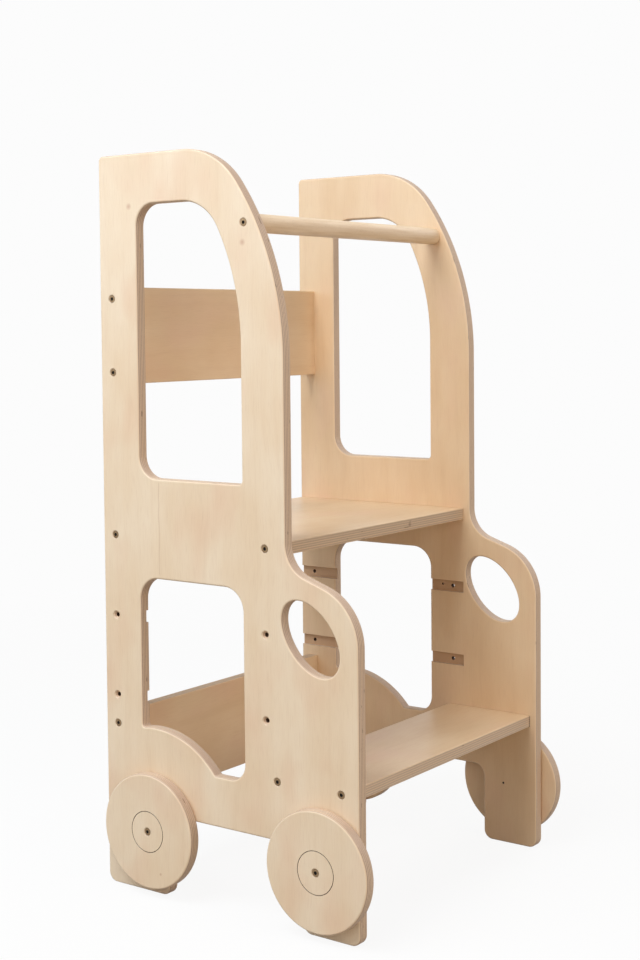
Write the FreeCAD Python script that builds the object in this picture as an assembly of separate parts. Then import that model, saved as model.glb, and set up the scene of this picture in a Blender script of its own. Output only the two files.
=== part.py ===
import FreeCAD, Part
import math
import os

# A kitchen helper stool for toddlers in the outline of a small truck: two plywood sides, a
# standing platform at one of three heights, a step, two back boards, a handrail and four wheels.
# Millimetres. The bonnet and the step face -Y, +Z is up, and the floor is z = 0.
# A "depth" is measured forward from the sides' straight rear edges, a "height" up from the floor.

# Sheet and overall sizes
SHEET = 15.0
OUTER_WIDTH = 422.0
PANEL_HEIGHT = 900.0
CAB_DEPTH = 282.5
BASE_DEPTH = 382.5
PANEL_EDGE_BREAK = 1.8
BOARD_EDGE_ROUND = 1.2
ROUNDED_SHARE = 0.98

# Cab roof: a quarter oval of two arcs from the flat roof down to the front pillar
ROOF_CURVE_DEPTH = 148.0
ROOF_CURVE_HEIGHT = 247.0
ROOF_CURVE_RADIUS = 101.0
ROOF_REAR_RADIUS = 6.0

# Bonnet: a short slope between the front pillar and the front edge
BONNET_HEIGHT = 416.0
BONNET_SLOPE = 18.7
BONNET_INNER_RADIUS = 39.0
BONNET_OUTER_RADIUS = 69.0

# Feet
REAR_FOOT_DEPTH = 101.5
FRONT_FOOT_DEPTH = 79.5
UNDERBODY_HEIGHT = 99.5
UNDERBODY_RADIUS = 15.0
FOOT_CORNER_RADIUS = 12.0

# Window
WINDOW_REAR = 61.0
WINDOW_BOTTOM = 508.5
WINDOW_FRONT_MARGIN = 62.0
WINDOW_TOP_MARGIN = 61.0
WINDOW_CURVE_DEPTH = 87.5
WINDOW_CURVE_HEIGHT = 169.0
WINDOW_CURVE_RADIUS = 61.0
WINDOW_REAR_RADIUS = 27.0
WINDOW_FRONT_RADIUS = 5.0

# Door, with a bottom edge that follows the rear wheel
DOOR_REAR = 60.0
DOOR_FRONT_MARGIN = 62.5
DOOR_TOP = 387.0
DOOR_SILL = 160.0
DOOR_TOP_RADIUS = 28.0
DOOR_SILL_RADIUS = 21.0
ARCH_GAP = 54.0
ARCH_CORNER_RADIUS = 3.5

# Headlight hole: a tilted oval
HEADLIGHT_SETBACK = 66.0
HEADLIGHT_DROP = 77.0
HEADLIGHT_LENGTH = 98.0
HEADLIGHT_WIDTH = 62.5
HEADLIGHT_TILT = 48.0

# Platform and its grooves
PLATFORM_DEPTH = 272.5
PLATFORM_LEVEL = 436.5
LEVEL_SPACING = 99.5
LEVEL_COUNT = 3
GROOVE_DEPTH = 5.0
GROOVE_CLEARANCE = 0.2
PLATFORM_SCREW_INSET = 19.5

# Step and its dadoes
STEP_REAR = 248.5
STEP_FRONT_SETBACK = 10.0
STEP_LEVEL = 168.5
STEP_REAR_SCREW_INSET = 19.5
STEP_FRONT_SCREW_INSET = 14.5
STEP_DADO_RUNOUT = 2.0

# Back boards
BACK_INSET = 12.0
UPPER_RAIL_TOP_MARGIN = 159.5
UPPER_RAIL_HEIGHT = 119.0
LOWER_BOARD_BOTTOM = 96.5
LOWER_BOARD_HEIGHT = 120.0
BACK_SCREW_INSET = 14.5

# Handrail
HANDRAIL_RADIUS = 11.0
HANDRAIL_SETBACK = 55.5
HANDRAIL_TOP_MARGIN = 90.0
HANDRAIL_CLEARANCE = 0.05

# Wheels
WHEEL_RADIUS = 70.0
WHEEL_THICKNESS = 15.0
WHEEL_EDGE_BREAK = 1.6
WHEEL_GAP = 1.0
AXLE_HEIGHT = 80.0
REAR_AXLE_DEPTH = 80.0
FRONT_AXLE_SETBACK = 49.5
HUB_RADIUS = 24.6
HUB_NECK_RADIUS = 17.0
HUB_FLANGE_THICKNESS = 7.5
HUB_RING_GAP = 0.7
HUB_RUNNING_CLEARANCE = 0.08
HUB_AXIAL_PLAY = 0.3

# Screws with a countersunk head, a hexagon socket, a smooth neck and a thinner core
SCREW_LENGTH = 50.0
WHEEL_SCREW_LENGTH = 30.0
SCREW_HEAD_RADIUS = 5.0
SCREW_NECK_RADIUS = 2.5
SCREW_CORE_RADIUS = 1.9
SCREW_SOCKET_WIDTH = 4.0
SCREW_SOCKET_DEPTH = 2.2
SCREW_SINK = 0.4
SCREW_CLEARANCE = 0.1
PILOT_RUNOUT = 1.0

# Places worked out from the sizes above
REAR_Y = (BASE_DEPTH - FRONT_AXLE_SETBACK + WHEEL_RADIUS) / 2
OUTER_X = -OUTER_WIDTH / 2
INNER_X = OUTER_X + SHEET
GROOVE_X = INNER_X - GROOVE_DEPTH
WHEEL_X = OUTER_X - WHEEL_GAP
HUB_FACE_X = WHEEL_X - WHEEL_THICKNESS
FRONT_AXLE_DEPTH = BASE_DEPTH - FRONT_AXLE_SETBACK
WINDOW_FRONT = CAB_DEPTH - WINDOW_FRONT_MARGIN
WINDOW_TOP = PANEL_HEIGHT - WINDOW_TOP_MARGIN
DOOR_FRONT = CAB_DEPTH - DOOR_FRONT_MARGIN
HEADLIGHT_HEIGHT = BONNET_HEIGHT - HEADLIGHT_DROP
STEP_FRONT = BASE_DEPTH - STEP_FRONT_SETBACK
HANDRAIL_DEPTH = CAB_DEPTH - HANDRAIL_SETBACK
HANDRAIL_HEIGHT = PANEL_HEIGHT - HANDRAIL_TOP_MARGIN
UPPER_RAIL_BOTTOM = PANEL_HEIGHT - UPPER_RAIL_TOP_MARGIN - UPPER_RAIL_HEIGHT
BACK_SCREW_DEPTH = BACK_INSET + SHEET / 2
LEVELS = [PLATFORM_LEVEL - step * LEVEL_SPACING for step in range(LEVEL_COUNT)]
ACROSS = FreeCAD.Vector(1, 0, 0)
ORIGIN = FreeCAD.Vector(0, 0, 0)


def place(x, depth, height):
    return FreeCAD.Vector(x, REAR_Y - depth, height)


def half_angle_at(points, index):
    corner = points[index]
    return (points[index - 1] - corner).getAngle(points[index + 1] - corner) / 2


def rounding_reaches(points, radii):
    """How far each rounding reaches along its runs; two that would meet on a run share it."""
    inner = range(1, len(points) - 1)
    wanted = [0] + [radii[index] / math.tan(half_angle_at(points, index)) for index in inner] + [0]
    reaches = list(wanted)
    for index in range(len(points) - 1):
        run = ROUNDED_SHARE * points[index].distanceToPoint(points[index + 1])
        share = run / max(run, wanted[index] + wanted[index + 1])
        reaches[index] = min(reaches[index], wanted[index] * share)
        reaches[index + 1] = min(reaches[index + 1], wanted[index + 1] * share)
    return reaches


def rounded_run(corners):
    """Edges through (depth, height, radius) corners, rounded at all but the first and last."""
    points = [place(0, depth, height) for depth, height, _ in corners]
    reaches = rounding_reaches(points, [radius for _, _, radius in corners])
    edges = []
    start = points[0]
    for index in range(1, len(points) - 1):
        corner = points[index]
        reach = reaches[index]
        half_angle = half_angle_at(points, index)
        radius = reach * math.tan(half_angle)
        back = (points[index - 1] - corner).normalize()
        ahead = (points[index + 1] - corner).normalize()
        bisector = (back + ahead).normalize()
        middle = corner + bisector * (radius / math.sin(half_angle) - radius)
        edges.append(Part.makeLine(start, corner + back * reach))
        edges.append(Part.Arc(corner + back * reach, middle, corner + ahead * reach).toShape())
        start = corner + ahead * reach
    edges.append(Part.makeLine(start, points[-1]))
    return edges


def arc_about(centre, radius, angle_from, angle_to):
    """Arc in the depth-height plane; angles in radians from straight forward, up positive."""
    def at(angle):
        return place(0, centre[0] + radius * math.cos(angle), centre[1] + radius * math.sin(angle))
    return Part.Arc(at(angle_from), at((angle_from + angle_to) / 2), at(angle_to)).toShape()


def quarter_oval(front, top, depth, height, roof_radius):
    """Two tangent arcs from the front edge at top - height up to the top edge at front - depth."""
    drop = height - roof_radius
    pillar_radius = (depth ** 2 + drop ** 2 - roof_radius ** 2) / (2 * (depth - roof_radius))
    turn = math.atan2(drop, pillar_radius - depth)
    pillar = arc_about((front - pillar_radius, top - height), pillar_radius, 0, turn)
    roof = arc_about((front - depth, top - roof_radius), roof_radius, turn, math.pi / 2)
    return [pillar, roof]


def prism(edges, x_low, x_high):
    wire = Part.Wire(Part.sortEdges(edges)[0])
    solid = Part.Face(wire).extrude(FreeCAD.Vector(x_high - x_low, 0, 0))
    solid.translate(FreeCAD.Vector(x_low, 0, 0))
    return solid


def rod(radius, x_low, x_high, depth, height):
    return Part.makeCylinder(radius, x_high - x_low, place(x_low, depth, height), ACROSS)


def block(x_low, x_high, depth_rear, depth_front, bottom, top):
    size = (x_high - x_low, depth_front - depth_rear, top - bottom)
    return Part.makeBox(*size, place(x_low, depth_front, bottom))


def panel_outline():
    roof_start = CAB_DEPTH - ROOF_CURVE_DEPTH
    pillar_top = PANEL_HEIGHT - ROOF_CURVE_HEIGHT
    front_corner = BONNET_HEIGHT - (BASE_DEPTH - CAB_DEPTH) * math.tan(math.radians(BONNET_SLOPE))
    front_foot_rear = BASE_DEPTH - FRONT_FOOT_DEPTH
    corners = [
        (roof_start, PANEL_HEIGHT, 0),
        (0, PANEL_HEIGHT, ROOF_REAR_RADIUS),
        (0, 0, FOOT_CORNER_RADIUS),
        (REAR_FOOT_DEPTH, 0, FOOT_CORNER_RADIUS),
        (REAR_FOOT_DEPTH, UNDERBODY_HEIGHT, UNDERBODY_RADIUS),
        (front_foot_rear, UNDERBODY_HEIGHT, UNDERBODY_RADIUS),
        (front_foot_rear, 0, FOOT_CORNER_RADIUS),
        (BASE_DEPTH, 0, FOOT_CORNER_RADIUS),
        (BASE_DEPTH, front_corner, BONNET_OUTER_RADIUS),
        (CAB_DEPTH, BONNET_HEIGHT, BONNET_INNER_RADIUS),
        (CAB_DEPTH, pillar_top, 0),
    ]
    curve = quarter_oval(
        CAB_DEPTH, PANEL_HEIGHT, ROOF_CURVE_DEPTH, ROOF_CURVE_HEIGHT, ROOF_CURVE_RADIUS
    )
    return rounded_run(corners) + curve


def window_outline():
    corners = [
        (WINDOW_FRONT - WINDOW_CURVE_DEPTH, WINDOW_TOP, 0),
        (WINDOW_REAR, WINDOW_TOP, WINDOW_REAR_RADIUS),
        (WINDOW_REAR, WINDOW_BOTTOM, WINDOW_REAR_RADIUS),
        (WINDOW_FRONT, WINDOW_BOTTOM, WINDOW_FRONT_RADIUS),
        (WINDOW_FRONT, WINDOW_TOP - WINDOW_CURVE_HEIGHT, 0),
    ]
    curve = quarter_oval(
        WINDOW_FRONT, WINDOW_TOP, WINDOW_CURVE_DEPTH, WINDOW_CURVE_HEIGHT, WINDOW_CURVE_RADIUS
    )
    return rounded_run(corners) + curve


def door_outline():
    """A door whose lower edge is an arc about the rear axle, nestled into its neighbours."""
    axle = (REAR_AXLE_DEPTH, AXLE_HEIGHT)
    arch_radius = WHEEL_RADIUS + ARCH_GAP
    reach = arch_radius + ARCH_CORNER_RADIUS
    rear_across = DOOR_REAR + ARCH_CORNER_RADIUS - axle[0]
    rear_centre = (axle[0] + rear_across, axle[1] + math.sqrt(reach ** 2 - rear_across ** 2))
    sill_up = DOOR_SILL + ARCH_CORNER_RADIUS - axle[1]
    sill_centre = (axle[0] + math.sqrt(reach ** 2 - sill_up ** 2), axle[1] + sill_up)
    rear_angle = math.atan2(rear_centre[1] - axle[1], rear_centre[0] - axle[0])
    sill_angle = math.atan2(sill_centre[1] - axle[1], sill_centre[0] - axle[0])
    corners = [
        (sill_centre[0], DOOR_SILL, 0),
        (DOOR_FRONT, DOOR_SILL, DOOR_SILL_RADIUS),
        (DOOR_FRONT, DOOR_TOP, DOOR_TOP_RADIUS),
        (DOOR_REAR, DOOR_TOP, DOOR_TOP_RADIUS),
        (DOOR_REAR, rear_centre[1], 0),
    ]
    arch = [
        arc_about(rear_centre, ARCH_CORNER_RADIUS, math.pi, math.pi + rear_angle),
        arc_about(axle, arch_radius, sill_angle, rear_angle),
        arc_about(sill_centre, ARCH_CORNER_RADIUS, math.pi + sill_angle, 1.5 * math.pi),
    ]
    return rounded_run(corners) + arch


def headlight_outline():
    oval = Part.Ellipse(ORIGIN, HEADLIGHT_LENGTH / 2, HEADLIGHT_WIDTH / 2).toShape()
    oval.rotate(ORIGIN, FreeCAD.Vector(0, 0, 1), HEADLIGHT_TILT)
    oval.rotate(ORIGIN, FreeCAD.Vector(0, 1, 0), 90)
    oval.rotate(ORIGIN, ACROSS, 90)
    oval.translate(place(0, BASE_DEPTH - HEADLIGHT_SETBACK, HEADLIGHT_HEIGHT))
    return [oval]


def screw(length, head_x, depth, height):
    """Screw driven toward +X from head_x; its smooth neck ends level with the groove floors."""
    cone = SCREW_HEAD_RADIUS - SCREW_NECK_RADIUS
    neck_end = SHEET - GROOVE_DEPTH - SCREW_SINK
    profile = [
        (0, 0),
        (0, SCREW_HEAD_RADIUS),
        (cone, SCREW_NECK_RADIUS),
        (neck_end, SCREW_NECK_RADIUS),
        (neck_end, SCREW_CORE_RADIUS),
        (length, SCREW_CORE_RADIUS),
        (length, 0),
        (0, 0),
    ]
    wire = Part.makePolygon([FreeCAD.Vector(along, 0, out) for along, out in profile])
    body = Part.Face(wire).revolve(ORIGIN, ACROSS, 360)
    corner_radius = SCREW_SOCKET_WIDTH / math.sqrt(3)
    angles = [math.radians(60 * corner) for corner in range(7)]
    hexagon = [FreeCAD.Vector(0, math.cos(a), math.sin(a)) * corner_radius for a in angles]
    socket = Part.Face(Part.makePolygon(hexagon)).extrude(ACROSS * SCREW_SOCKET_DEPTH)
    body = body.cut(socket)
    body.translate(place(head_x, depth, height))
    return body


def screw_hole(head_x, depth, height):
    """Countersink and neck hole for a screw driven toward +X into a sheet whose face is at head_x."""
    mouth = SCREW_HEAD_RADIUS + SCREW_SINK + SCREW_CLEARANCE
    neck = SCREW_NECK_RADIUS + SCREW_CLEARANCE
    at = place(head_x, depth, height)
    cone = Part.makeCone(mouth, neck, mouth - neck, at, ACROSS)
    shank = Part.makeCylinder(neck, SHEET, at, ACROSS)
    return cone.fuse(shank)


def pilot_hole(x_low, length, depth, height):
    radius = SCREW_CORE_RADIUS + SCREW_CLEARANCE
    return rod(radius, x_low, x_low + length, depth, height)


def axle_spots():
    return {
        "rear": (REAR_AXLE_DEPTH, AXLE_HEIGHT),
        "front": (FRONT_AXLE_DEPTH, AXLE_HEIGHT),
    }


def platform_spots(level):
    return [
        (PLATFORM_SCREW_INSET, level),
        (PLATFORM_DEPTH - PLATFORM_SCREW_INSET, level),
    ]


def back_spots(bottom, height):
    return [
        (BACK_SCREW_DEPTH, bottom + BACK_SCREW_INSET),
        (BACK_SCREW_DEPTH, bottom + height - BACK_SCREW_INSET),
    ]


SCREW_SPOTS = {
    "handrail": [(HANDRAIL_DEPTH, HANDRAIL_HEIGHT)],
    "upper_rail": back_spots(UPPER_RAIL_BOTTOM, UPPER_RAIL_HEIGHT),
    "platform": platform_spots(PLATFORM_LEVEL),
    "lower_board": back_spots(LOWER_BOARD_BOTTOM, LOWER_BOARD_HEIGHT),
    "step": [
        (STEP_REAR + STEP_REAR_SCREW_INSET, STEP_LEVEL),
        (STEP_FRONT - STEP_FRONT_SCREW_INSET, STEP_LEVEL),
    ],
}


def side_panel():
    """The left side panel, with its worked inner face toward +X."""
    panel = prism(panel_outline(), OUTER_X, INNER_X)
    for outline in (window_outline(), door_outline(), headlight_outline()):
        panel = panel.cut(prism(outline, OUTER_X, INNER_X))
    rims = [edge for edge in panel.Edges if edge.BoundBox.XLength < SHEET / 2]
    panel = panel.makeChamfer(PANEL_EDGE_BREAK, rims)
    half = SHEET / 2
    cuts = []
    for level in LEVELS:
        top = level + half + GROOVE_CLEARANCE
        cuts.append(block(GROOVE_X, INNER_X, -1, PLATFORM_DEPTH, level - half, top))
    dado_front = STEP_FRONT + STEP_DADO_RUNOUT
    dado_top = STEP_LEVEL + half + GROOVE_CLEARANCE
    cuts.append(block(GROOVE_X, INNER_X, STEP_REAR, dado_front, STEP_LEVEL - half, dado_top))
    seat_radius = HANDRAIL_RADIUS + HANDRAIL_CLEARANCE
    cuts.append(rod(seat_radius, GROOVE_X, INNER_X, HANDRAIL_DEPTH, HANDRAIL_HEIGHT))
    spare = [spot for level in LEVELS[1:] for spot in platform_spots(level)]
    for depth, height in spare + [spot for spots in SCREW_SPOTS.values() for spot in spots]:
        cuts.append(screw_hole(OUTER_X, depth, height))
    for depth, height in axle_spots().values():
        cuts.append(pilot_hole(OUTER_X, SHEET, depth, height))
    return panel.cut(cuts)


def rounded_block(x_half, depth_rear, depth_front, bottom, top, spots):
    """A board across the stool, with rounded long edges and a pilot hole at each screw."""
    board = block(-x_half, x_half, depth_rear, depth_front, bottom, top)
    long_edges = [edge for edge in board.Edges if edge.BoundBox.XLength > x_half]
    board = board.makeFillet(BOARD_EDGE_ROUND, long_edges)
    return drilled(board, x_half, spots)


def drilled(piece, x_half, spots):
    hole_length = OUTER_X + SCREW_LENGTH + PILOT_RUNOUT + x_half
    for depth, height in spots:
        left = pilot_hole(-x_half, hole_length, depth, height)
        piece = piece.cut([left, to_right(left)])
    return piece


def housed_board(depth_rear, depth_front, level, spots):
    """A board whose ends sit in grooves of both side panels."""
    half = SHEET / 2
    return rounded_block(-GROOVE_X, depth_rear, depth_front, level - half, level + half, spots)


def back_board(bottom, height, spots):
    """A board whose ends butt against the inner faces of both side panels."""
    return rounded_block(-INNER_X, BACK_INSET, BACK_INSET + SHEET, bottom, bottom + height, spots)


def handrail():
    rail = rod(HANDRAIL_RADIUS, GROOVE_X, -GROOVE_X, HANDRAIL_DEPTH, HANDRAIL_HEIGHT)
    return drilled(rail, -GROOVE_X, SCREW_SPOTS["handrail"])


def wheel(depth, height):
    """A ring with a counterbore in its outer face, which the hub's flange keeps on the panel."""
    disc = rod(WHEEL_RADIUS, HUB_FACE_X, WHEEL_X, depth, height)
    rims = [edge for edge in disc.Edges if edge.BoundBox.XLength < WHEEL_EDGE_BREAK]
    disc = disc.makeChamfer(WHEEL_EDGE_BREAK, rims)
    bore = rod(HUB_NECK_RADIUS + HUB_RUNNING_CLEARANCE, HUB_FACE_X, WHEEL_X, depth, height)
    counterbore_end = HUB_FACE_X + HUB_FLANGE_THICKNESS + HUB_AXIAL_PLAY
    counterbore = rod(HUB_RADIUS + HUB_RING_GAP, HUB_FACE_X, counterbore_end, depth, height)
    return disc.cut([bore, counterbore])


def wheel_hub(depth, height):
    """A flanged plug that stands on the panel, with its flange flush in the wheel's face."""
    flange_end = HUB_FACE_X + HUB_FLANGE_THICKNESS
    flange = rod(HUB_RADIUS, HUB_FACE_X, flange_end, depth, height)
    neck = rod(HUB_NECK_RADIUS, flange_end, OUTER_X, depth, height)
    hub = flange.fuse(neck).removeSplitter()
    hub = hub.cut(screw_hole(HUB_FACE_X, depth, height))
    through = rod(SCREW_NECK_RADIUS + SCREW_CLEARANCE, HUB_FACE_X, OUTER_X, depth, height)
    return hub.cut(through)


def to_right(shape):
    return shape.mirror(ORIGIN, ACROSS)


def sided(name, shape):
    """The left piece and its mirror image on the right."""
    return {name + "_left": shape, name + "_right": to_right(shape)}


def all_parts():
    parts = sided("side_panel", side_panel())
    parts["platform"] = housed_board(0, PLATFORM_DEPTH, PLATFORM_LEVEL, SCREW_SPOTS["platform"])
    parts["step_board"] = housed_board(STEP_REAR, STEP_FRONT, STEP_LEVEL, SCREW_SPOTS["step"])
    parts["upper_back_rail"] = back_board(
        UPPER_RAIL_BOTTOM, UPPER_RAIL_HEIGHT, SCREW_SPOTS["upper_rail"]
    )
    parts["lower_back_board"] = back_board(
        LOWER_BOARD_BOTTOM, LOWER_BOARD_HEIGHT, SCREW_SPOTS["lower_board"]
    )
    parts["handrail_dowel"] = handrail()
    for where, (depth, height) in axle_spots().items():
        head_x = HUB_FACE_X + SCREW_SINK
        axle_screw = screw(WHEEL_SCREW_LENGTH, head_x, depth, height)
        parts.update(sided("wheel_" + where, wheel(depth, height)))
        parts.update(sided("wheel_hub_" + where, wheel_hub(depth, height)))
        parts.update(sided("wheel_screw_" + where, axle_screw))
    for board, spots in SCREW_SPOTS.items():
        head_x = OUTER_X + SCREW_SINK
        screws = [screw(SCREW_LENGTH, head_x, depth, height) for depth, height in spots]
        name = board + ("_screws" if len(screws) > 1 else "_screw")
        parts.update(sided(name, Part.makeCompound(screws)))
    return parts


def main():
    os.makedirs("parts", exist_ok=True)
    for name, shape in all_parts().items():
        shape.exportStep("parts/" + name + ".step")
        print(name, len(shape.Solids), "solid(s)", round(shape.Volume), "mm3")


main()
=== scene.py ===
"""Looks of a truck-shaped kitchen helper stool in birch plywood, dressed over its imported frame.

Metres, in the frame's own axes: the bonnet and the step face -Y, +Z is up and the floor is z = 0.
A depth is measured forward from the side panels' straight rear edges, and a height from the floor.
Each piece is named after the node that it stands for, and right ones are mirrored from the left.
"""

import logging
import math
from dataclasses import dataclass, field, replace
from enum import Enum
from typing import Callable, Iterable, Sequence

import bmesh
import bpy
from mathutils import Matrix, Vector

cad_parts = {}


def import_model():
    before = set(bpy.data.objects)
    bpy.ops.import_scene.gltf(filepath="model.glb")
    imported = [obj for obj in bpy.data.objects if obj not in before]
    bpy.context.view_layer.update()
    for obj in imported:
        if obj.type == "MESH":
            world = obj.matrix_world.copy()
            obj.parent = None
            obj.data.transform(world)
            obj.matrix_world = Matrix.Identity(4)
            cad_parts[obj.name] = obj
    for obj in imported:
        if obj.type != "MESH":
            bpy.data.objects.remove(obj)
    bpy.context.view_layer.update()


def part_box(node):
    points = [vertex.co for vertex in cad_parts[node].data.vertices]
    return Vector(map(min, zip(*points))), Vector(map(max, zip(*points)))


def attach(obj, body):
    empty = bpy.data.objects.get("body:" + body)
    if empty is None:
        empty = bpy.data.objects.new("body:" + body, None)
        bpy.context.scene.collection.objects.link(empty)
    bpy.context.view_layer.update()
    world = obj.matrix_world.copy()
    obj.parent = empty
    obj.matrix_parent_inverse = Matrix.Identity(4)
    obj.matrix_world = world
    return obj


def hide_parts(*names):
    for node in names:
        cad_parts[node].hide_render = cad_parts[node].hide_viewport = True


LOG = logging.getLogger("kitchen_stool")

MM = 0.001
ACROSS = Vector((1.0, 0.0, 0.0))
CHORD_ERROR = 0.02 * MM
WELD = 0.001 * MM
SHARP_ANGLE = math.radians(32.0)

Colour = tuple[int, int, int]
Corner = tuple[float, float, float]
Face = bpy.types.MeshPolygon
Knot = tuple[float, float, float, float]
Mesh = bmesh.types.BMesh
Piece = bpy.types.Object
Socket = bpy.types.NodeSocket
Spot = tuple[float, float]


class SheetAxis(Enum):
    """The row axis through a plywood sheet's thickness."""

    X = 0
    Y = 1
    Z = 2


@dataclass(frozen=True)
class Layout:
    """Sizes that the stool's assemblies share.

    Attributes:
        sheet: Thickness of every plywood sheet.
        outer_x: Distance from the middle plane to a side panel's outer face.
        rear_y: Place of the side panels' rear edges.
        groove: Depth of the grooves that house the boards.
        neck: Radius of the screw holes.
        mouth: Radius of a screw hole's countersink in the outer face.
    """

    sheet: float = 15.0 * MM
    outer_x: float = 211.0 * MM
    rear_y: float = 201.5 * MM
    groove: float = 5.0 * MM
    neck: float = 2.6 * MM
    mouth: float = 5.5 * MM

    @property
    def inner_x(self) -> float:
        """Distance from the middle plane to a side panel's inner face."""
        return self.outer_x - self.sheet

    def at(self, depth: float, height: float, x: float = 0.0) -> Vector:
        """Turns a depth and a height, and a distance across, into a point."""
        return Vector((x, self.rear_y - depth, height))


LAYOUT = Layout()
PANEL_SCREWS = ("handrail_screw_left", "upper_rail_screws_left", "platform_screws_left",
                "lower_board_screws_left", "step_screws_left")
WHEEL_SCREWS = ("wheel_screw_rear_left", "wheel_screw_front_left")
WHEELS = ("wheel_rear_left", "wheel_front_left")


def head_spots(node: str) -> list[Spot]:
    """Reads from the frame where a node's one or two screw heads lie.

    Args:
        node: Name of the screws' node.

    Returns:
        Depth and height of each head's middle.
    """
    low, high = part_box(node)
    radius = min(high.y - low.y, high.z - low.z) / 2.0
    first = (LAYOUT.rear_y - high.y + radius, low.z + radius)
    last = (LAYOUT.rear_y - low.y - radius, high.z - radius)
    if max(last[0] - first[0], last[1] - first[1]) < radius:
        return [first]
    return [first, last]


def axle_spot(node: str) -> Spot:
    """Reads the axle of a round node along X from the frame, as a depth and a height.

    Args:
        node: Name of the node.

    Returns:
        Depth and height of its axle.
    """
    low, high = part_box(node)
    middle = (low + high) / 2.0
    return (LAYOUT.rear_y - middle.y, middle.z)


# ---------------------------------------------------------------- meshes


def fillet(before: Corner, corner: Corner, after: Corner) -> tuple[Vector, Vector, float]:
    """Finds the arc that rounds a corner between two lines.

    Args:
        before: The corner before it.
        corner: The corner's place, and the arc's radius.
        after: The corner after it.

    Returns:
        The arc's start, its centre and the angle that it turns through.
    """
    here = Vector(corner[:2])
    back = (Vector(before[:2]) - here).normalized()
    ahead = (Vector(after[:2]) - here).normalized()
    half_angle = back.angle(ahead) / 2.0
    start = here + back * (corner[2] / math.tan(half_angle))
    centre = here + (back + ahead).normalized() * (corner[2] / math.sin(half_angle))
    turn = (math.pi - 2.0 * half_angle) * math.copysign(1.0, ahead.cross(back))
    return start, centre, turn


class Pen:
    """Traces an outline of lines and arcs in the plane of a side panel."""

    def __init__(self, bm: Mesh, depth: float, height: float, x: float) -> None:
        """Puts the pen down at its first point.

        Args:
            bm: The mesh that it draws in.
            depth: Depth of the point.
            height: Height of the point.
            x: Distance across of the drawing's plane.
        """
        self.bm = bm
        self.x = x
        self.tip = bmesh.ops.create_vert(bm, co=LAYOUT.at(depth, height, x))["vert"][0]

    def line(self, depth: float, height: float) -> None:
        """Draws a straight line to a point."""
        self.tip = bmesh.ops.extrude_vert_indiv(self.bm, verts=[self.tip])["verts"][0]
        self.tip.co = LAYOUT.at(depth, height, self.x)

    def arc(self, depth: float, height: float, turn: float) -> None:
        """Draws an arc about a centre, in chords that keep within the chord error.

        Args:
            depth: Depth of the centre.
            height: Height of the centre.
            turn: Angle in radians, positive from straight forward to straight up.
        """
        centre = LAYOUT.at(depth, height, self.x)
        radius = (self.tip.co - centre).length
        widest = 2.0 * math.acos(1.0 - min(1.0, CHORD_ERROR / radius))
        swept = bmesh.ops.spin(
            self.bm, geom=[self.tip], cent=centre, axis=-ACROSS, dvec=(0.0, 0.0, 0.0),
            angle=turn, steps=max(2, math.ceil(abs(turn) / widest)), use_merge=False,
            use_duplicate=False,
        )
        self.tip = next(e for e in swept["geom_last"] if isinstance(e, bmesh.types.BMVert))

    def rounded(self, corners: Sequence[Corner]) -> None:
        """Goes on through corners, rounding all but the first and last.

        Args:
            corners: Depth, height and radius of each; the pen stands at the first.
        """
        for three in zip(corners, corners[1:], corners[2:]):
            start, centre, turn = fillet(*three)
            self.line(*start)
            self.arc(*centre, turn)
        self.line(*corners[-1][:2])

    def quarter_oval(self, front: float, top: float, depth: float, height: float,
                     roof_radius: float) -> None:
        """Draws two tangent arcs, from the front edge up to the top edge.

        Args:
            front: Depth of the front edge, where the pen stands at top - height.
            top: Height of the top edge.
            depth: How far back the curve ends.
            height: How far below the top it starts.
            roof_radius: Radius of the second arc.
        """
        drop = height - roof_radius
        pillar = (depth ** 2 + drop ** 2 - roof_radius ** 2) / (2.0 * (depth - roof_radius))
        turn = math.atan2(drop, pillar - depth)
        self.arc(front - pillar, top - height, turn)
        self.arc(front - depth, top - roof_radius, math.pi / 2.0 - turn)


def lathe(profile: Sequence[Spot], depth: float, height: float, steps: int = 64) -> Mesh:
    """Turns a profile about an axle along X.

    Args:
        profile: Distance across and radius of each point, from one end to the other.
        depth: Depth of the axle.
        height: Height of the axle.
        steps: Number of equal steps round the turn.

    Returns:
        The turned mesh, closed where the profile meets the axle.
    """
    bm = bmesh.new()
    x, radius = profile[0]
    tip = bmesh.ops.create_vert(bm, co=LAYOUT.at(depth, height + radius, x))["vert"][0]
    for x, radius in profile[1:]:
        tip = bmesh.ops.extrude_vert_indiv(bm, verts=[tip])["verts"][0]
        tip.co = LAYOUT.at(depth, height + radius, x)
    bmesh.ops.spin(
        bm, geom=bm.verts[:] + bm.edges[:], cent=LAYOUT.at(depth, height), axis=ACROSS,
        dvec=(0.0, 0.0, 0.0), angle=math.tau, steps=steps, use_merge=True, use_duplicate=False,
    )
    bmesh.ops.remove_doubles(bm, verts=bm.verts, dist=WELD)
    bmesh.ops.recalc_face_normals(bm, faces=bm.faces)
    return bm


def plain_bore(start: float, end: float, radius: float) -> list[Spot]:
    """Gives the profile of a cylinder between two distances across."""
    return [(start, 0.0), (start, radius), (end, radius), (end, 0.0)]


def rounded_profile(corners: Sequence[Corner], segments: int = 4) -> list[Spot]:
    """Rounds the corners of a lathe profile.

    Args:
        corners: Distance across, radius from the axle and rounding of each corner.
        segments: Chords in each rounding.

    Returns:
        The profile's points.
    """
    points = [corners[0][:2]]
    for before, corner, after in zip(corners, corners[1:], corners[2:]):
        if corner[2] == 0.0:
            points.append(corner[:2])
            continue
        start, centre, turn = fillet(before, corner, after)
        for step in range(segments + 1):
            swung = Matrix.Rotation(turn * step / segments, 2) @ (start - centre)
            points.append(tuple(centre + swung))
    return [*points, corners[-1][:2]]


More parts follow.
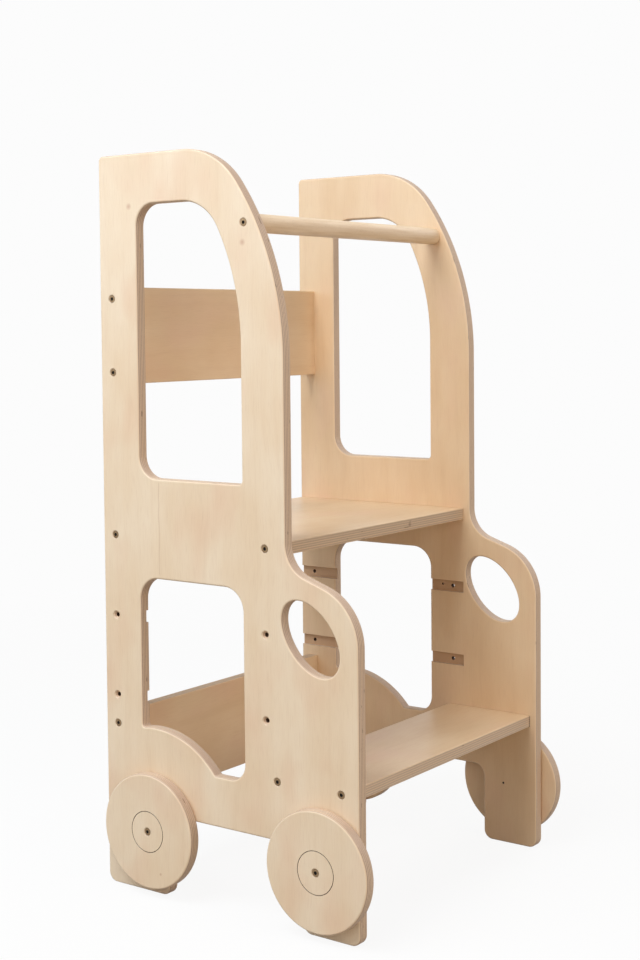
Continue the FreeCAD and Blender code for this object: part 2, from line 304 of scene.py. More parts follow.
def box_mesh(low: Vector, high: Vector) -> Mesh:
    """Makes a block between two corners.

    Args:
        low: Its lowest corner.
        high: Its highest corner.

    Returns:
        The block.
    """
    bm = bmesh.new()
    place = Matrix.Translation((low + high) / 2.0) @ Matrix.Diagonal((*(high - low), 1.0))
    bmesh.ops.create_cube(bm, size=1.0, matrix=place)
    return bm


def round_over(bm: Mesh, edges: Sequence[bmesh.types.BMEdge], radius: float, segments: int,
               clamped: bool) -> None:
    """Rounds edges over.

    Args:
        bm: The mesh.
        edges: The edges.
        radius: Radius of the rounding.
        segments: Number of strips in it.
        clamped: Whether the strips slide along the faces beside them and stop at their ends.
    """
    bmesh.ops.bevel(bm, geom=edges, offset=radius, offset_type="OFFSET", segments=segments,
                    profile=0.5, affect="EDGES", material=-1, clamp_overlap=clamped,
                    loop_slide=clamped)


def joined(parts: Iterable[Mesh]) -> Mesh:
    """Puts several meshes into one and frees them.

    Args:
        parts: The meshes.

    Returns:
        The mesh that holds them all.
    """
    whole = bmesh.new()
    for part in parts:
        scratch = bpy.data.meshes.new("scratch")
        part.to_mesh(scratch)
        part.free()
        whole.from_mesh(scratch)
        bpy.data.meshes.remove(scratch)
    return whole


def object_from(bm: Mesh, name: str) -> Piece:
    """Turns a mesh into an object at the origin and frees it.

    Args:
        bm: The mesh.
        name: Name of the object.

    Returns:
        The object.
    """
    mesh = bpy.data.meshes.new(name)
    bm.to_mesh(mesh)
    bm.free()
    piece = bpy.data.objects.new(name, mesh)
    bpy.context.scene.collection.objects.link(piece)
    return piece


def apply_modifiers(piece: Piece) -> None:
    """Replaces a piece's mesh by what its modifiers make of it.

    Args:
        piece: The piece, which loses its modifiers.
    """
    graph = bpy.context.evaluated_depsgraph_get()
    made = bpy.data.meshes.new_from_object(piece.evaluated_get(graph))
    piece.modifiers.clear()
    spent = piece.data
    piece.data = made
    bpy.data.meshes.remove(spent)


def cut(piece: Piece, *cutters: Mesh) -> None:
    """Subtracts cutters from a piece, one after the other.

    Args:
        piece: The piece.
        *cutters: Closed meshes, which are freed.
    """
    for cutter_mesh in cutters:
        cutter = object_from(cutter_mesh, "cutter")
        knife = piece.modifiers.new("cut", "BOOLEAN")
        knife.operation = "DIFFERENCE"
        knife.solver = "EXACT"
        knife.object = cutter
        apply_modifiers(piece)
        bpy.data.objects.remove(cutter)


def smooth(piece: Piece) -> None:
    """Shades a piece smooth up to the sharp angle, with flat faces kept flat.

    Args:
        piece: The piece.
    """
    piece.data.shade_smooth()
    piece.data.set_sharp_from_angle(angle=SHARP_ANGLE)
    weigh = piece.modifiers.new("weighted_normals", "WEIGHTED_NORMAL")
    weigh.mode = "FACE_AREA"
    weigh.keep_sharp = True
    apply_modifiers(piece)


def mirrored(left: Piece) -> Piece:
    """Copies a left piece to the right side of the middle plane.

    Args:
        left: The left piece.

    Returns:
        The right piece, named after it.
    """
    bm = bmesh.new()
    bm.from_mesh(left.data)
    bmesh.ops.scale(bm, vec=(-1.0, 1.0, 1.0), verts=bm.verts)
    bmesh.ops.reverse_faces(bm, faces=bm.faces)
    return object_from(bm, left.name.replace("_left", "_right"))


# ---------------------------------------------------------------- finishes


def rgba(colour: object) -> object:
    """Turns an sRGB triple of 0 to 255 into a linear colour; leaves a socket as it is.

    Args:
        colour: The triple or the socket.

    Returns:
        The linear colour with an alpha of 1, or the socket.
    """
    if isinstance(colour, Socket):
        return colour
    def linear(channel: float) -> float:
        """Undoes the sRGB curve for one channel."""
        share = channel / 255.0
        return share / 12.92 if share <= 0.04045 else ((share + 0.055) / 1.055) ** 2.4
    return (*(linear(channel) for channel in colour), 1.0)


class NodeBench:
    """Lays out the shader nodes of one material or world."""

    def __init__(self, owner: bpy.types.Material | bpy.types.World) -> None:
        """Switches the owner's nodes on.

        Args:
            owner: The material or world.
        """
        owner.use_nodes = True
        self.owner = owner
        self.tree = owner.node_tree

    def node(self, kind: str, *sources: object, **settings: object) -> bpy.types.Node:
        """Adds a node.

        Args:
            kind: Its type.
            *sources: What its first inputs take, in turn.
            **settings: Its properties.

        Returns:
            The node.
        """
        made = self.tree.nodes.new(kind)
        for key, value in settings.items():
            setattr(made, key, value)
        for socket, source in zip(made.inputs, sources):
            self.feed(socket, source)
        return made

    def feed(self, socket: Socket, source: object) -> None:
        """Links a socket's source, or sets its value.

        Args:
            socket: The input.
            source: An output, or a plain value.
        """
        if isinstance(source, Socket):
            self.tree.links.new(source, socket)
        else:
            socket.default_value = source

    def math(self, operation: str, *inputs: object) -> Socket:
        """Adds a math node over sockets and numbers."""
        return self.node("ShaderNodeMath", *inputs, operation=operation).outputs[0]

    def coordinates(self, kind: str = "Object") -> Socket:
        """Gives the shaded point in Object coordinates, or its Normal."""
        return self.node("ShaderNodeTexCoord").outputs[kind]

    def split(self, vector: Socket) -> list[Socket]:
        """Gives the three components of a vector."""
        return list(self.node("ShaderNodeSeparateXYZ", vector).outputs)

    def vector(self, *parts: object) -> Socket:
        """Builds a vector from three sockets or numbers."""
        return self.node("ShaderNodeCombineXYZ", *parts).outputs[0]

    def squeezed(self, along: Socket, share: float, *rest: object) -> Socket:
        """Builds a vector with less of its first part, which draws a texture out along it."""
        return self.vector(self.math("MULTIPLY", along, share), *rest)

    def noise(self, vector: object, scale: float, detail: float = 2.0,
              roughness: float = 0.5, distortion: float = 0.0) -> Socket:
        """Adds a noise texture and gives its value.

        Args:
            vector: Where it is read.
            scale: Its scale.
            detail: Its detail.
            roughness: Its roughness.
            distortion: Its distortion.

        Returns:
            The noise's value.
        """
        made = self.node("ShaderNodeTexNoise")
        for key, value in (("Vector", vector), ("Scale", scale), ("Detail", detail),
                           ("Roughness", roughness), ("Distortion", distortion)):
            self.feed(made.inputs[key], value)
        return made.outputs["Fac"]

    def span(self, value: object, low: float, high: float, to_low: float = 0.0,
             to_high: float = 1.0) -> Socket:
        """Maps a value from one span to another, and clamps it."""
        return self.node("ShaderNodeMapRange", value, low, high, to_low, to_high).outputs[0]

    def mix(self, share: object, first: object, second: object) -> Socket:
        """Mixes two colours.

        Args:
            share: Share of the second.
            first: A socket or an sRGB triple.
            second: A socket or an sRGB triple.

        Returns:
            The mixed colour.
        """
        made = self.node("ShaderNodeMix", share, data_type="RGBA")
        self.feed(made.inputs[6], rgba(first))
        self.feed(made.inputs[7], rgba(second))
        return made.outputs[2]

    def choose(self, share: object, first: object, second: object) -> Socket:
        """Mixes two numbers.

        Args:
            share: Share of the second.
            first: A socket or a number.
            second: A socket or a number.

        Returns:
            The mixed number.
        """
        made = self.node("ShaderNodeMix", share, data_type="FLOAT")
        self.feed(made.inputs[2], first)
        self.feed(made.inputs[3], second)
        return made.outputs[0]

    def relief(self, height: Socket, strength: float, distance: float) -> None:
        """Raises the principled shader's surface by a height.

        Args:
            height: The height, from 0 to 1.
            strength: Strength of the bumps.
            distance: What a height of 1 stands for.
        """
        bump = self.node("ShaderNodeBump")
        for key, value in (("Height", height), ("Strength", strength), ("Distance", distance)):
            self.feed(bump.inputs[key], value)
        self.feed(self.tree.nodes["Principled BSDF"].inputs["Normal"], bump.outputs[0])

    def finish(self, colour: object, roughness: object, specular: float = 0.5,
               metallic: float = 0.0) -> bpy.types.Material:
        """Sets the principled shader and gives the finished material.

        Args:
            colour: Its colour, linear where it isn't a socket.
            roughness: Its roughness.
            specular: Its specular level.
            metallic: 1 for metal, else 0.

        Returns:
            The material.
        """
        shader = self.tree.nodes["Principled BSDF"]
        for key, value in (("Base Color", colour), ("Roughness", roughness),
                           ("Specular IOR Level", specular), ("Metallic", metallic)):
            self.feed(shader.inputs[key], value)
        return self.owner

    def shown_white(self) -> Socket:
        """Gives 1 for rays that see the background, straight or in a gloss.

        Returns:
            The share of the plain background.
        """
        rays = self.node("ShaderNodeLightPath").outputs
        gloss = self.math("MAXIMUM", rays["Is Glossy Ray"], rays["Is Transmission Ray"])
        return self.math("MAXIMUM", rays["Is Camera Ray"], gloss)

    def surface(self, output: str, lit: bpy.types.Node, seen: bpy.types.Node) -> None:
        """Lights by one shader, and shows another where the background is seen.

        Args:
            output: Name of the output node.
            lit: The shader that gives light.
            seen: The shader that is shown.
        """
        mixer = self.node("ShaderNodeMixShader", self.shown_white(), lit.outputs[0],
                          seen.outputs[0])
        self.feed(self.tree.nodes[output].inputs["Surface"], mixer.outputs[0])


def new_bench(name: str) -> NodeBench:
    """Starts a material with a principled shader."""
    return NodeBench(bpy.data.materials.new(name))


@dataclass(frozen=True)
class Ply:
    """Where a shaded point lies in a stack of plies.

    Attributes:
        along: Distance along the ply's grain.
        sideways: Distance across the ply's grain.
        through: Distance through the sheet.
        stack: Height in the stack, counted in plies.
        level: Number of the ply.
        crossed: Whether its grain runs across that of the face veneers.
    """

    along: Socket
    sideways: Socket
    through: Socket
    stack: Socket
    level: Socket
    crossed: Socket


@dataclass(frozen=True)
class EdgeTone:
    """Colours of a sheet's sanded edge: long grain, end grain and glue lines."""

    core: Colour
    end: Colour
    glue: Colour


@dataclass(frozen=True)
class PlywoodFinish:
    """Satin birch plywood, textured as a solid stack of plies.

    Attributes:
        name: Name of the material.
        sheet_axis: Axis through the sheet.
        grain_axis: Axis of the face veneer's grain.
        low: Where the sheet starts along its axis; for X sheets, distance from the middle.
        thickness: Thickness of the sheet.
        plies: Number of plies in the sheet.
        log: Which log the veneers come from, so that no two boards look alike.
        knots: Distance across, depth, height and radius of the pin knots that stand out.
        joint: Depth, lower end and upper end of a joint between two strips of face veneer.
        painted_sheen_outer: Lightest and deepest colour of an outer face veneer on an X sheet,
            kept paler than the inner faces' colours as painted sheen and light on the outer side.
        pale: Any other face veneer where it is lightest.
        warm: Any other face veneer where it is deepest.
        blush: Pinkish heartwood in the face veneer.
        pore: Pores and fine flecks.
        knot: Heart of a pin knot.
        routed: Inner ply laid bare in a groove's floor.
        tone: Colours of the edge.
    """

    name: str
    sheet_axis: SheetAxis
    grain_axis: SheetAxis
    low: float
    thickness: float = LAYOUT.sheet
    plies: int = 11
    log: float = 0.0
    knots: tuple[Knot, ...] = ()
    joint: Corner | None = None
    painted_sheen_outer: tuple[Colour, Colour] = ((241, 222, 197), (234, 210, 180))
    pale: Colour = (234, 207, 173)
    warm: Colour = (226, 194, 156)
    blush: Colour = (230, 194, 164)
    pore: Colour = (190, 150, 114)
    knot: Colour = (188, 138, 106)
    routed: Colour = (196, 156, 118)
    tone: EdgeTone = EdgeTone((226, 206, 184), (178, 150, 132), (114, 88, 72))

    @property
    def cross_axis(self) -> int:
        """The row axis in the sheet's plane, across the face veneer's grain."""
        return 3 - self.sheet_axis.value - self.grain_axis.value

    def make(self) -> bpy.types.Material:
        """Builds the material's nodes.

        Returns:
            The finished material.
        """
        bench = new_bench(self.name)
        here = bench.coordinates()
        facing = bench.split(bench.coordinates("Normal"))
        ply = self.locate(bench, here)
        faceness = bench.span(bench.math("ABSOLUTE", facing[self.sheet_axis.value]), 0.55, 0.9)
        outermost = bench.math("MAXIMUM", bench.math("LESS_THAN", ply.stack, 1.0),
                               bench.math("GREATER_THAN", ply.stack, self.plies - 1.0))
        skin = bench.math("MULTIPLY", faceness, outermost)
        veneer, fibre = self.veneer(bench, ply)
        wood = bench.mix(skin, self.edge(bench, ply, facing), veneer)
        floor = bench.math("MULTIPLY", bench.math("SUBTRACT", faceness, skin), 0.8)
        wood = bench.mix(floor, wood, self.routed)
        bench.relief(fibre, 0.10, 0.12 * MM)
        satin = bench.span(fibre, 0.3, 0.7, 0.34, 0.44)
        return bench.finish(self.marks(bench, here, wood), bench.choose(skin, 0.66, satin))

    def locate(self, bench: NodeBench, here: Socket) -> Ply:
        """Finds the ply that a point lies in.

        Args:
            bench: The material's bench.
            here: The point in Object coordinates.

        Returns:
            The point's place in the stack.
        """
        place = bench.split(here)
        through = place[self.sheet_axis.value]
        if self.sheet_axis is SheetAxis.X:
            through = bench.math("ABSOLUTE", through)
        through = bench.math("SUBTRACT", through, self.low)
        ripple = bench.math("MULTIPLY_ADD", bench.noise(here, 16.0, 1.0), 0.7 * MM, -0.35 * MM)
        stack = bench.math("MULTIPLY", bench.math("ADD", through, ripple),
                           self.plies / self.thickness)
        level = bench.math("MINIMUM", stack, self.plies - 0.01)
        level = bench.math("FLOOR", bench.math("MAXIMUM", level, 0.01))
        crossed = bench.math("MODULO", level, 2.0)
        grain, cross = place[self.grain_axis.value], place[self.cross_axis]
        along = bench.math("ADD", bench.choose(crossed, grain, cross),
                           bench.math("MULTIPLY_ADD", level, 0.37, self.log))
        return Ply(along, bench.choose(crossed, cross, grain), through, stack, level, crossed)

    def marks(self, bench: NodeBench, here: Socket, colour: Socket) -> Socket:
        """Adds the knots and the veneer joint that stand out.

        Args:
            bench: The material's bench.
            here: The point in Object coordinates.
            colour: The wood's colour so far.

        Returns:
            The colour with its marks.
        """
        for across, depth, height, radius in self.knots:
            offset = bench.node("ShaderNodeVectorMath", here, LAYOUT.at(depth, height, across),
                                operation="DISTANCE")
            near = bench.span(offset.outputs["Value"], radius * 0.3, radius * 1.6, 0.55, 0.0)
            colour = bench.mix(near, colour, self.knot)
        if self.joint is not None:
            depth, low, high = self.joint
            _, y, z = bench.split(here)
            wander = bench.math("MULTIPLY_ADD", bench.noise(here, 30.0, 1.0), 5.0 * MM,
                                depth - LAYOUT.rear_y - 2.5 * MM)
            beside = bench.math("ABSOLUTE", bench.math("ADD", y, wander))
            between = bench.math("MULTIPLY", bench.span(z, low, low + 4.0 * MM),
                                 bench.span(z, high - 4.0 * MM, high, 1.0, 0.0))
            line = bench.span(beside, 0.3 * MM, 1.1 * MM, 0.3, 0.0)
            colour = bench.mix(bench.math("MULTIPLY", between, line), colour, self.pore)
        return colour

    def veneer(self, bench: NodeBench, ply: Ply) -> tuple[Socket, Socket]:
        """Colours a rotary-cut face veneer.

        Args:
            bench: The material's bench.
            ply: The point's place in the stack.

        Returns:
            The veneer's colour and the height of its fibres.
        """
        def drawn_out(share: float, layer: float) -> Socket:
            """Gives the point with its distance along the grain cut to a share."""
            return bench.squeezed(ply.along, share, ply.sideways, layer)

        bent = bench.math("MULTIPLY_ADD", bench.noise(drawn_out(0.4, 0.0), 11.0), 26.0 * MM,
                          ply.sideways)
        long_grain = bench.squeezed(ply.along, 0.05, bent,
                                    bench.math("MULTIPLY", ply.through, 0.6))
        fibre = bench.noise(long_grain, 900.0, 3.0, 0.6)
        streak = bench.noise(long_grain, 95.0, 3.0, 0.55)
        cloud = bench.noise(drawn_out(0.55, 3.1), 17.0)
        heart = bench.noise(drawn_out(0.6, 7.7), 13.0, 2.0, 0.55)
        # On an X sheet the outer half's face veneer takes the paler outer colours, which are
        # painted sheen and light on the outer faces; the inner faces keep the warmer colours.
        outer = 0.0
        if self.sheet_axis is SheetAxis.X:
            outer = bench.math("GREATER_THAN", ply.stack, self.plies / 2.0)
        wood = bench.mix(bench.span(bench.choose(0.82, streak, cloud), 0.34, 0.66),
                         bench.mix(outer, self.pale, self.painted_sheen_outer[0]),
                         bench.mix(outer, self.warm, self.painted_sheen_outer[1]))
        for pattern, low, high, share, colour in ((heart, 0.52, 0.74, 0.6, self.blush),
                                                  (fibre, 0.50, 0.80, 0.20, self.pore),
                                                  (streak, 0.55, 0.75, 0.07, self.pore)):
            wood = bench.mix(bench.span(pattern, low, high, 0.0, share), wood, colour)

        cells = bench.node("ShaderNodeTexVoronoi")
        cells.inputs["Scale"].default_value = 8.0
        bench.feed(cells.inputs["Vector"], drawn_out(0.7, 0.0))
        chosen = bench.math("GREATER_THAN", bench.split(cells.outputs["Color"])[0], 0.62)
        spots = bench.math("MULTIPLY", chosen,
                           bench.span(cells.outputs["Distance"], 0.004, 0.024, 0.45, 0.0))
        return bench.mix(spots, wood, self.knot), fibre

    def edge(self, bench: NodeBench, ply: Ply, facing: Sequence[Socket]) -> Socket:
        """Colours the sawn and sanded edge of the stacked plies.

        Args:
            bench: The material's bench.
            ply: The point's place in the stack.
            facing: The three parts of the normal.

        Returns:
            The edge's colour.
        """
        tone = self.tone
        end_share = bench.choose(ply.crossed, facing[self.grain_axis.value],
                                 facing[self.cross_axis])
        end_share = bench.span(bench.math("ABSOLUTE", end_share), 0.15, 0.85)
        seam = bench.math("ABSOLUTE", bench.math("SUBTRACT", bench.math("FRACT", ply.stack), 0.5))
        tint = bench.node("ShaderNodeTexWhiteNoise", noise_dimensions="1D")
        bench.feed(tint.inputs["W"], bench.math("ADD", ply.level, self.log * 10.0 + 0.5))
        long_ply = bench.mix(bench.math("MULTIPLY", tint.outputs["Value"], 0.55), tone.core,
                             self.warm)
        fine = bench.noise(bench.squeezed(ply.along, 0.12, ply.sideways, ply.level), 1100.0, 1.0)
        end_ply = bench.mix(bench.span(fine, 0.3, 0.8, 0.0, 0.35), tone.end, tone.core)
        sawn = bench.mix(end_share, long_ply, end_ply)
        sawn = bench.mix(bench.span(seam, 0.40, 0.49, 0.0, 0.36), sawn, tone.glue)
        gaps = bench.noise(bench.vector(ply.along, ply.sideways, ply.level), 60.0, 1.0, 0.4)
        return bench.mix(bench.span(gaps, 0.72, 0.78, 0.0, 0.7), sawn, tone.glue)


@dataclass(frozen=True)
class BeechFinish:
    """Satin solid beech with fine dark flecks along X."""

    name: str = "beech_satin"
    pale: Colour = (236, 212, 182)
    deep: Colour = (222, 194, 160)
    fleck: Colour = (160, 120, 86)

    def make(self) -> bpy.types.Material:
        """Builds the material's nodes.

        Returns:
            The finished material.
        """
        bench = new_bench(self.name)
        x, y, z = bench.split(bench.coordinates())
        rings = bench.noise(bench.squeezed(x, 0.05, y, z), 260.0, 3.0, 0.55, 0.3)
        flecks = bench.noise(bench.squeezed(x, 0.18, y, z), 1500.0)
        wood = bench.mix(bench.span(rings, 0.35, 0.65), self.pale, self.deep)
        wood = bench.mix(bench.span(flecks, 0.6, 0.75, 0.0, 0.35), wood, self.fleck)
        bench.relief(rings, 0.1, 0.15 * MM)
        return bench.finish(wood, bench.span(rings, 0.3, 0.7, 0.36, 0.5))


@dataclass(frozen=True)
class MottledFinish:
    """A small dark surface, mottled between two colours.

    Attributes:
        name: Name of the material.
        deep: The darker colour.
        light: The lighter colour.
        mottle: Scale and detail of the mottling.
        patches: Values of the mottling between which the deeper turns into the lighter.
        roughness: Lowest and highest roughness.
        specular: Specular level.
        metallic: 1 for metal, else 0.
    """

    name: str
    deep: Colour
    light: Colour
    mottle: Spot
    patches: Spot
    roughness: Spot
    specular: float = 0.5
    metallic: float = 0.0

    def make(self) -> bpy.types.Material:
        """Builds the material's nodes.

        Returns:
            The finished material.
        """
        bench = new_bench(self.name)
        mottle = bench.noise(bench.coordinates(), *self.mottle, 0.6)
        return bench.finish(bench.mix(bench.span(mottle, *self.patches), self.deep, self.light),
                            bench.span(mottle, 0.3, 0.7, *self.roughness), self.specular,
                            self.metallic)


# Torn end grain, darkened further as painted shade, for the walls of open drilled holes and of the
# gap round each hub
RECESS_SHADE = MottledFinish("birch_drilled", (66, 46, 32), (104, 76, 54), (900.0, 2.0), (0.35, 0.7),
                        (0.8, 0.95), specular=0.2)
# The plating of the connector screws, and the shade inside their sockets
BRONZE = MottledFinish("bronze_plating", (128, 106, 80), (158, 134, 104), (700.0, 3.0),
                       (0.4, 0.7), (0.36, 0.52), metallic=1.0)
BRONZE_SHADE = replace(BRONZE, name="bronze_socket", deep=(26, 20, 16), light=(44, 34, 26),
                       roughness=(0.55, 0.75), metallic=0.0)


# ---------------------------------------------------------------- assemblies


def dress(piece: Piece, material: bpy.types.Material, body: str = "frame") -> Piece:
    """Smooths a piece, gives it its material and ties it to the frame.

    Args:
        piece: The finished piece, named after the node that it stands for.
        material: Its material.
        body: The body that it moves with.

    Returns:
        The same piece.
    """
    smooth(piece)
    node = piece.name.rsplit("_", 1)[0]
    piece.data.materials.clear()
    piece.data.materials.append(material)
    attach(piece, body)
    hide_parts(node)
    LOG.info("%s stands for %s on %s, %d faces", piece.name, node, body,
             len(piece.data.polygons))
    return piece


def off_axle(face: Face, spot: Spot) -> float:
    """Measures how far a face's middle lies from an axle along X."""
    return (face.center - LAYOUT.at(*spot, face.center.x)).length


def repaint(piece: Piece, finish: bpy.types.Material, chosen: Callable[[Face], bool]) -> None:
    """Gives the chosen faces of a dressed piece a second finish.

    Args:
        piece: The piece.
        finish: The second finish.
        chosen: Tells whether a face takes it.
    """
    piece.data.materials.append(finish)
    for face in piece.data.polygons:
        if chosen(face):
            face.material_index = 1


@dataclass
class SidePanels:
    """The two truck-shaped plywood sides with their holes and grooves."""

    height: float = 900.0 * MM
    cab_depth: float = 282.5 * MM
    base_depth: float = 382.5 * MM
    edge_round: float = 2.5 * MM
    edge_segments: int = 4
    roof_curve: Corner = (148.0 * MM, 247.0 * MM, 101.0 * MM)
    roof_rear_radius: float = 6.0 * MM
    bonnet_height: float = 416.0 * MM
    bonnet_slope: float = math.radians(18.7)
    bonnet_radii: Spot = (39.0 * MM, 69.0 * MM)
    rear_foot: float = 101.5 * MM
    front_foot: float = 79.5 * MM
    underbody: float = 99.5 * MM
    underbody_radius: float = 15.0 * MM
    foot_radius: float = 12.0 * MM
    window_rear: float = 61.0 * MM
    window_bottom: float = 508.5 * MM
    window_front: float = 220.5 * MM
    window_top: float = 839.0 * MM
    window_curve: Corner = (87.5 * MM, 169.0 * MM, 61.0 * MM)
    window_radii: Spot = (27.0 * MM, 5.0 * MM)
    door_rear: float = 60.0 * MM
    door_front: float = 220.0 * MM
    door_top: float = 387.0 * MM
    door_sill: float = 160.0 * MM
    door_radii: Spot = (28.0 * MM, 21.0 * MM)
    arch_centre: Spot = (80.0 * MM, 80.0 * MM)
    arch_radius: float = 124.0 * MM
    arch_corner: float = 3.5 * MM
    headlight_centre: Spot = (316.5 * MM, 339.0 * MM)
    headlight_axes: Spot = (49.0 * MM, 31.25 * MM)
    headlight_tilt: float = math.radians(48.0)
    headlight_chords: int = 112
    rim_angle: float = math.radians(60.0)
    flat_angle: float = math.radians(1.0)
    level_spacing: float = 99.5 * MM
    level_count: int = 3
    fit: float = 0.2 * MM
    dado_runout: float = 1.0 * MM
    pilot_radius: float = 1.5 * MM
    overcut: float = 1.0 * MM
    hole_steps: int = 40
    pilot_steps: int = 24
    dimple_spot: Spot = (237.2 * MM, 338.3 * MM)
    dimple_size: Spot = (1.6 * MM, 4.0 * MM)
    drilled_wall: float = 0.3 * MM
    wall_lean: float = 0.5
    left_knots: tuple[Spot, ...] = ((225.4 * MM, 787.4 * MM), (49.6 * MM, 836.9 * MM))
    knot_radius: float = 3.0 * MM
    left_joint: Corner = (92.0 * MM, 390.0 * MM, 506.0 * MM)
    right_log: float = 1.9

    def draw_outline(self, bm: Mesh, x: float) -> None:
        """Draws the truck's outline.

        Args:
            bm: The panel's mesh.
            x: Distance across of its outer face.
        """
        roof_start = self.cab_depth - self.roof_curve[0]
        pillar_top = self.height - self.roof_curve[1]
        run = self.base_depth - self.cab_depth
        front_corner = self.bonnet_height - run * math.tan(self.bonnet_slope)
        front_foot_rear = self.base_depth - self.front_foot
        pen = Pen(bm, roof_start, self.height, x)
        pen.rounded([
            (roof_start, self.height, 0.0),
            (0.0, self.height, self.roof_rear_radius),
            (0.0, 0.0, self.foot_radius),
            (self.rear_foot, 0.0, self.foot_radius),
            (self.rear_foot, self.underbody, self.underbody_radius),
            (front_foot_rear, self.underbody, self.underbody_radius),
            (front_foot_rear, 0.0, self.foot_radius),
            (self.base_depth, 0.0, self.foot_radius),
            (self.base_depth, front_corner, self.bonnet_radii[1]),
            (self.cab_depth, self.bonnet_height, self.bonnet_radii[0]),
            (self.cab_depth, pillar_top, 0.0),
        ])
        pen.quarter_oval(self.cab_depth, self.height, *self.roof_curve)

    def draw_window(self, bm: Mesh, x: float) -> None:
        """Draws the cab window.

        Args:
            bm: The panel's mesh.
            x: Distance across of its outer face.
        """
        rear_radius, front_radius = self.window_radii
        curve_start = self.window_front - self.window_curve[0]
        pen = Pen(bm, curve_start, self.window_top, x)
        pen.rounded([
            (curve_start, self.window_top, 0.0),
            (self.window_rear, self.window_top, rear_radius),
            (self.window_rear, self.window_bottom, rear_radius),
            (self.window_front, self.window_bottom, front_radius),
            (self.window_front, self.window_top - self.window_curve[1], 0.0),
        ])
        pen.quarter_oval(self.window_front, self.window_top, *self.window_curve)

    def draw_door(self, bm: Mesh, x: float) -> None:
        """Draws the door, whose lower edge is an arc about the rear axle.

        Args:
            bm: The panel's mesh.
            x: Distance across of its outer face.
        """
        axle_depth, axle_height = self.arch_centre
        top_radius, sill_radius = self.door_radii
        reach = self.arch_radius + self.arch_corner
        rear_across = self.door_rear + self.arch_corner - axle_depth
        rear_up = math.sqrt(reach ** 2 - rear_across ** 2)
        rear = (axle_depth + rear_across, axle_height + rear_up)
        sill_up = self.door_sill + self.arch_corner - axle_height
        sill_across = math.sqrt(reach ** 2 - sill_up ** 2)
        sill = (axle_depth + sill_across, axle_height + sill_up)
        rear_angle = math.atan2(rear_up, rear_across)
        sill_angle = math.atan2(sill_up, sill_across)
        pen = Pen(bm, sill[0], self.door_sill, x)
        pen.rounded([
            (sill[0], self.door_sill, 0.0),
            (self.door_front, self.door_sill, sill_radius),
            (self.door_front, self.door_top, top_radius),
            (self.door_rear, self.door_top, top_radius),
            (self.door_rear, rear[1], 0.0),
        ])
        pen.arc(*rear, rear_angle)
        pen.arc(axle_depth, axle_height, sill_angle - rear_angle)
        pen.arc(*sill, math.pi / 2.0 - sill_angle)

    def draw_headlight(self, bm: Mesh, x: float) -> None:
        """Draws the tilted oval of the headlight hole.

        Args:
            bm: The panel's mesh.
            x: Distance across of its outer face.
        """
        upright = Matrix(((0, 0, 1, 0), (1, 0, 0, 0), (0, 1, 0, 0), (0, 0, 0, 1)))
        place = (Matrix.Translation(LAYOUT.at(*self.headlight_centre, x))
                 @ Matrix.Rotation(self.headlight_tilt, 4, "X") @ upright
                 @ Matrix.Diagonal((*self.headlight_axes, 1.0, 1.0)))
        bmesh.ops.create_circle(bm, cap_ends=False, radius=1.0, segments=self.headlight_chords,
                                matrix=place)

    def blank(self) -> Mesh:
        """Cuts the sheet to shape and rounds over every rim.

        Returns:
            The left panel without its grooves and screw holes.
        """
        bm = bmesh.new()
        for draw in (self.draw_outline, self.draw_window, self.draw_door, self.draw_headlight):
            draw(bm, -LAYOUT.outer_x)
        bmesh.ops.remove_doubles(bm, verts=bm.verts, dist=WELD)
        bmesh.ops.triangle_fill(bm, use_beauty=True, edges=bm.edges[:])
        bmesh.ops.dissolve_limit(bm, angle_limit=self.flat_angle, verts=[],
                                 edges=[e for e in bm.edges if not e.is_boundary])
        face_side = bmesh.ops.extrude_face_region(bm, geom=bm.faces[:])
        moved = [e for e in face_side["geom"] if isinstance(e, bmesh.types.BMVert)]
        bmesh.ops.translate(bm, verts=moved, vec=ACROSS * LAYOUT.sheet)
        bmesh.ops.recalc_face_normals(bm, faces=bm.faces)
        rims = [e for e in bm.edges if len(e.link_faces) == 2
                and e.calc_face_angle(0.0) > self.rim_angle
                and abs(e.verts[0].co.x - e.verts[1].co.x) < WELD]
        round_over(bm, rims, self.edge_round, self.edge_segments, False)
        return bm

    def grooves(self) -> Mesh:
        """Makes cutters for the platform's grooves, the step's dado and the handrail's seat.

        Returns:
            The cutters as one mesh.
        """
        floor, past = -LAYOUT.inner_x - LAYOUT.groove, -LAYOUT.inner_x + self.overcut
        low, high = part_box("platform")
        parts = []
        for level in range(self.level_count):
            drop = Vector((0.0, 0.0, level * self.level_spacing))
            parts.append(box_mesh(
                Vector((floor, low.y, low.z)) - drop,
                Vector((past, high.y + self.overcut, high.z + self.fit)) - drop))
        low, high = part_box("step_board")
        parts.append(box_mesh(Vector((floor, low.y - self.dado_runout, low.z)),
                              Vector((past, high.y, high.z + self.fit))))
        low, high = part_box("handrail_dowel")
        seat = plain_bore(floor, past, (high.z - low.z + self.fit) / 2.0)
        parts.append(lathe(seat, *axle_spot("handrail_dowel")))
        return joined(parts)

    def spare_spots(self) -> list[Spot]:
        """Lists the empty screw holes of the platform's two lower levels.

        Returns:
            Depth and height of each.
        """
        return [(depth, height - level * self.level_spacing)
                for depth, height in head_spots("platform_screws_left")
                for level in range(1, self.level_count)]

